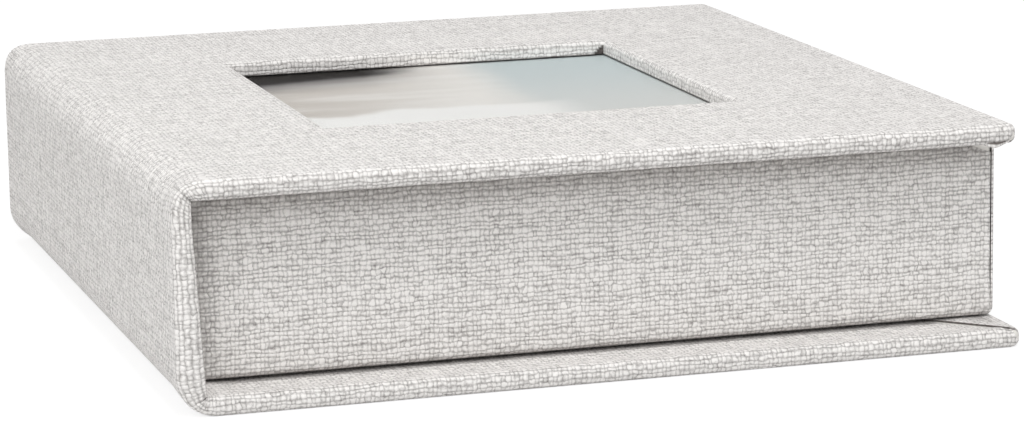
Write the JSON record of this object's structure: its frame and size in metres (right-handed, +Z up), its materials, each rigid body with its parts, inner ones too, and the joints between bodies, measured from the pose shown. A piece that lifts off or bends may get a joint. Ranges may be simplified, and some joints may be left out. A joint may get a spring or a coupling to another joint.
{
  "type": "photo storage box",
  "caption": "Cloth-covered clamshell box for photo prints, with a rounded spine, nested trays and a display window in its lid.",
  "frame": {"origin": "centre of the closed box's footprint, on the surface it rests on", "axes": "+X from the spine to the fore edge, +Y from the front edge to the back edge, +Z up through the lid"},
  "size_m": [0.186, 0.198, 0.049],
  "materials": {
    "cover_cloth": "coarse natural linen-weave bookcloth, off-white",
    "binders_board": "cream-faced pressed board, bare where the cloth stops",
    "infill_card": "plain thin card",
    "lining_paper": "uncoated off-white lining paper",
    "clear_film": "clear glossy film",
    "photo_print": null
  },
  "bodies": {
    "base": {"base_board": "binders_board", "base_infill_card": "infill_card", "base_cloth": "cover_cloth", "inner_tray_floor": "binders_board", "inner_tray_front_wall": "binders_board", "inner_tray_back_wall": "binders_board", "inner_tray_fore_edge_wall": "binders_board", "inner_tray_lining": "lining_paper", "inner_tray_cloth": "cover_cloth"},
    "spine": {"spine_board": "binders_board", "spine_cloth": "cover_cloth", "spine_lining": "lining_paper"},
    "lid": {"lid_board": "binders_board", "lid_infill_card": "infill_card", "lid_cloth": "cover_cloth", "window_film": "clear_film", "display_print": "photo_print", "pocket_card": "infill_card", "outer_tray_floor": "binders_board", "outer_tray_front_wall": "binders_board", "outer_tray_back_wall": "binders_board", "outer_tray_fore_edge_wall": "binders_board", "outer_tray_lining": "lining_paper", "outer_tray_front_cloth": "cover_cloth", "outer_tray_back_cloth": "cover_cloth", "outer_tray_fore_edge_cloth": "cover_cloth"}
  },
  "joints": [
    {"name": "spine_hinge", "type": "hinge", "parent": "base", "child": "spine", "pos_m": [-0.09124, 0, 0.00176], "axis": [0, -1, 0], "range_deg": [0, 90]},
    {"name": "lid_hinge", "type": "hinge", "parent": "spine", "child": "lid", "pos_m": [-0.09124, 0, 0.04724], "axis": [0, -1, 0], "range_deg": [0, 90]}
  ],
  "couplings": [
    {"joint": "spine_hinge", "follows": "lid_hinge", "ratio": 1}
  ]
}
